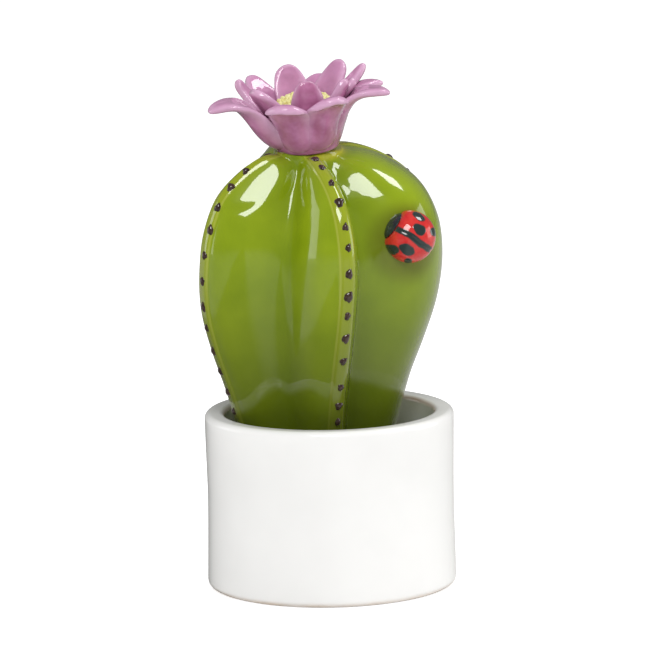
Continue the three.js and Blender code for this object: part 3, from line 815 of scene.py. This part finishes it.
def buildCentre(look):
    draw = random.Random(look["seed"])
    profile = [(0, look["base"] + look["under"])]
    for ring in range(look["rings"] + 1):
        out = look["radius"] * (1 - (ring / look["rings"]) ** 2)
        profile.append((out, domeLevel(look, out)))
    build = turned(profile, look["sides"])
    goldenTurn = math.pi * (3 - math.sqrt(5))
    for index in range(look["grains"]):
        out = (look["radius"] - look["margin"]) * math.sqrt((index + 0.5) / look["grains"])
        angle = index * goldenTurn + draw.uniform(-look["jitter"], look["jitter"])
        size = look["grain"] * draw.uniform(*look["grainSizes"])
        part = bmesh.new()
        bmesh.ops.create_icosphere(part, subdivisions=2, radius=size)
        spot = Vector((out * math.cos(angle), out * math.sin(angle), domeLevel(look, out) - look["sunk"]))
        part.transform(Matrix.Translation(spot))
        absorb(build, part)
    build.transform(bloomPlace)
    return build


finishPiece("bloom_centre", buildCentre(centre), glazes["yellow"], ["flower_centre"])

# A white table and room. The glaze mirrors them darker than they are, as in a studio with dark walls, with a dark
# strip of table in front of the pot.
studio = {
    "roomStrength": 0.54, "mirroredRoom": 0.16,
    "floorSize": 6.0, "floorColour": (0.8, 0.8, 0.8), "floorRoughness": 0.7, "seenGlow": 0.6, "floorGlow": 0.2,
    # the table in reflections: a dark and a pale tone, the middle of the dark strip in X, and where it ends
    "mirroredTones": [(0.14, 0.14, 0.13), (0.55, 0.55, 0.53)], "stripMiddle": -0.09, "stripEnds": (0.07, 0.11),
    "lights": [
        {"name": "keySoftbox", "from": (-0.03, -0.76, 0.87), "size": (0.4, 0.4), "spin": 45, "power": 6.0},
        {"name": "topSoftbox", "from": (0.55, 0.17, 0.94), "size": (0.3, 0.3), "spin": 20, "power": 3.2},
        {"name": "leftPanel", "from": (-1.2, 0.3, 0.1), "size": (0.7, 0.9), "spin": 0, "power": 3.6},
        {"name": "rightPanel", "from": (1.2, 0.2, 0.1), "size": (0.7, 0.9), "spin": 0, "power": 4.5},
    ],
    "lookAt": (0, 0, 0.08),
}


# The room is pure white to the camera, dimmer as a light and dimmer still in reflections
def makeRoom(look):
    world = bpy.data.worlds.new("paleRoom")
    bpy.context.scene.world = world
    world.use_nodes = True
    backdrop = world.node_tree.nodes["Background"]
    backdrop.inputs["Color"].default_value = (1, 1, 1, 1)
    rays = addNode(world, "ShaderNodeLightPath")
    room = addNode(world, "ShaderNodeMapRange")
    room.inputs["To Min"].default_value = look["roomStrength"]
    room.inputs["To Max"].default_value = look["mirroredRoom"]
    link(world, rays.outputs["Is Glossy Ray"], room.inputs["Value"])
    strength = addNode(world, "ShaderNodeMapRange")
    link(world, rays.outputs["Is Camera Ray"], strength.inputs["Value"])
    link(world, room.outputs["Result"], strength.inputs["To Min"])
    link(world, strength.outputs["Result"], backdrop.inputs["Strength"])


def makeFloorMaterial(look):
    material = bpy.data.materials.new("paleFloor")
    material.use_nodes = True
    shader = material.node_tree.nodes["Principled BSDF"]
    shader.inputs["Roughness"].default_value = look["floorRoughness"]
    shader.inputs["Emission Color"].default_value = (1, 1, 1, 1)
    rays = addNode(material, "ShaderNodeLightPath")
    place = addNode(material, "ShaderNodeSeparateXYZ")
    link(material, objectPlace(material), place.inputs[0])
    shifted = addNode(material, "ShaderNodeMath", operation="SUBTRACT")
    shifted.inputs[1].default_value = look["stripMiddle"]
    link(material, place.outputs["X"], shifted.inputs[0])
    away = addNode(material, "ShaderNodeMath", operation="ABSOLUTE")
    link(material, shifted.outputs[0], away.inputs[0])
    mirrored = mixColours(material, risen(material, away.outputs[0], look["stripEnds"]), *look["mirroredTones"])
    colour = mixColours(material, rays.outputs["Is Glossy Ray"], look["floorColour"], mirrored)
    link(material, colour, shader.inputs["Base Color"])
    glow = addNode(material, "ShaderNodeMath", operation="MULTIPLY_ADD")
    glow.inputs[1].default_value = look["floorGlow"]
    link(material, rays.outputs["Is Diffuse Ray"], glow.inputs[0])
    link(material, scaled(material, rays.outputs["Is Camera Ray"], look["seenGlow"]), glow.inputs[2])
    link(material, glow.outputs[0], shader.inputs["Emission Strength"])
    return material


def makeFloor(look):
    build = bmesh.new()
    bmesh.ops.create_grid(build, x_segments=1, y_segments=1, size=look["floorSize"] / 2)
    mesh = bpy.data.meshes.new("floor")
    build.to_mesh(mesh)
    build.free()
    mesh.materials.append(makeFloorMaterial(look))
    floor = bpy.data.objects.new("floor", mesh)
    bpy.context.scene.collection.objects.link(floor)


def hangLight(lamp, target):
    light = bpy.data.lights.new(lamp["name"], "AREA")
    light.shape = "RECTANGLE"
    light.size, light.size_y = lamp["size"]
    light.energy = lamp["power"]
    holder = bpy.data.objects.new(lamp["name"], light)
    bpy.context.scene.collection.objects.link(holder)
    holder.location = lamp["from"]
    aim = Vector(target) - Vector(lamp["from"])
    spin = Quaternion((0, 0, 1), math.radians(lamp["spin"]))
    holder.rotation_mode = "QUATERNION"
    holder.rotation_quaternion = aim.to_track_quat("-Z", "Y") @ spin


makeRoom(studio)
makeFloor(studio)
for lamp in studio["lights"]:
    hangLight(lamp, studio["lookAt"])
bpy.context.scene.view_settings.view_transform = "Standard"
print("studio lit")

# distances in metres, elevation in degrees, lens and sensor in millimetres, roll in radians
cameraLook = {
    "target": (0.00026, 0, 0.0673), "distance": 1.5, "elevation": 10, "lens": 316.2, "sensor": 36, "roll": -0.02,
}


def makeCamera(look):
    elevation = math.radians(look["elevation"])
    back = Vector((0, -math.cos(elevation), math.sin(elevation)))
    data = bpy.data.cameras.new("camera")
    data.sensor_width = look["sensor"]
    data.lens = look["lens"]
    camera = bpy.data.objects.new("camera", data)
    bpy.context.scene.collection.objects.link(camera)
    camera.location = Vector(look["target"]) + look["distance"] * back
    camera.rotation_mode = "QUATERNION"
    camera.rotation_quaternion = (-back).to_track_quat("-Z", "Y") @ Quaternion((0, 0, 1), look["roll"])
    bpy.context.scene.camera = camera


makeCamera(cameraLook)
print("camera placed")
